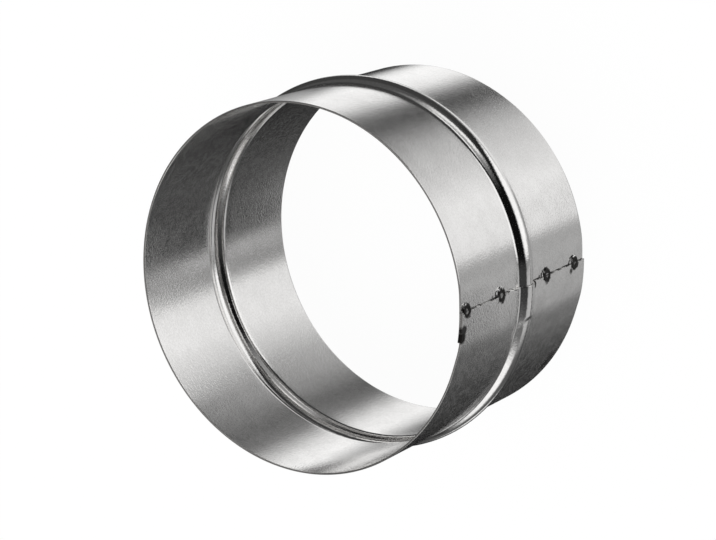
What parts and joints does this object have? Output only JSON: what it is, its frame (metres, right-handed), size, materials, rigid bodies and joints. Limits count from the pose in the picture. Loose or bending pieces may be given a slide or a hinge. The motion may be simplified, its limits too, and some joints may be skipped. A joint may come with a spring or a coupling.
{
  "type": "duct hose connector",
  "caption": "Short round sheet steel sleeve with a rolled stop bead round its middle and a lapped, spot-welded seam, for joining two lengths of duct hose.",
  "frame": {"origin": "on the sleeve's axis, at its lower end, on which it stands", "axes": "+Z along the sleeve's axis, from the lower end to the upper one; the seam's free edge lies 114 degrees clockwise of +X, seen from above"},
  "size_m": [0.1286, 0.1286, 0.082],
  "materials": {
    "galvanised_steel": "bright galvanised sheet, satin, with burnt spot welds along the seam"
  },
  "bodies": {
    "root": {"connector_sleeve": "galvanised_steel"}
  },
  "joints": []
}
